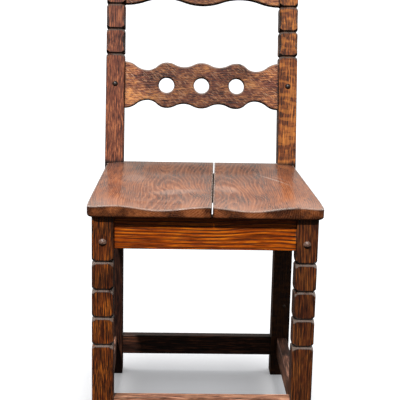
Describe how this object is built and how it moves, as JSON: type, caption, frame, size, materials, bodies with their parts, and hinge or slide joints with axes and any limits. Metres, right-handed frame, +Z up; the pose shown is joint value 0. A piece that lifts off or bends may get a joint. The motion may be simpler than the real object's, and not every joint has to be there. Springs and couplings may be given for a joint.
{
  "type": "oak side chair",
  "caption": "Wooden side chair with square notched legs, a hollowed plank seat, a pierced wavy back rail and pegged joints.",
  "frame": {"origin": "on the floor, under the middle of the chair's outline", "axes": "+Z up, -Y towards the chair's front, +X to the right of someone looking at its front"},
  "size_m": [0.4116, 0.5148, 0.8824],
  "materials": {
    "oak_legs": "old varnished oak, reddish brown, upright grain",
    "oak_posts": "old varnished oak, reddish brown, grain along the posts",
    "oak_apron": "varnished oak, bright orange brown, level grain",
    "oak_rails": "varnished oak, brown, grain along the rails",
    "oak_stretchers": "varnished oak, brown, worn along the top arrises",
    "oak_back": "varnished oak with flecked figure",
    "oak_seat": "glossy varnished oak, pinkish brown, grain from front to back",
    "oak_pegs": "oak pegs, grey brown, end grain",
    "oak_blocks": "raw oak, sawn",
    "screw_steel": "dull steel",
    "nail_iron": "rusted iron"
  },
  "bodies": {
    "root": {"front_leg_right": "oak_legs", "front_leg_left": "oak_legs", "back_post_right": "oak_posts", "back_post_left": "oak_posts", "front_seat_rail": "oak_apron", "back_seat_rail": "oak_rails", "side_seat_rail_right": "oak_rails", "side_seat_rail_left": "oak_rails", "front_stretcher": "oak_stretchers", "back_stretcher": "oak_stretchers", "side_stretcher_right": "oak_stretchers", "side_stretcher_left": "oak_stretchers", "splat_rail": "oak_back", "crest_rail": "oak_back", "seat_board_left": "oak_seat", "seat_board_right": "oak_seat", "front_rail_pegs": "oak_pegs", "front_stretcher_pegs": "oak_pegs", "back_rail_pegs": "oak_pegs", "back_stretcher_pegs": "oak_pegs", "side_rail_pegs": "oak_pegs", "side_stretcher_pegs": "oak_pegs", "splat_pegs": "oak_pegs", "crest_pegs": "oak_pegs", "corner_block_front_right": "oak_blocks", "corner_block_front_left": "oak_blocks", "corner_block_back_right": "oak_blocks", "corner_block_back_left": "oak_blocks", "corner_block_screws": "screw_steel", "seat_screws": "screw_steel", "post_nail": "nail_iron"}
  },
  "joints": []
}
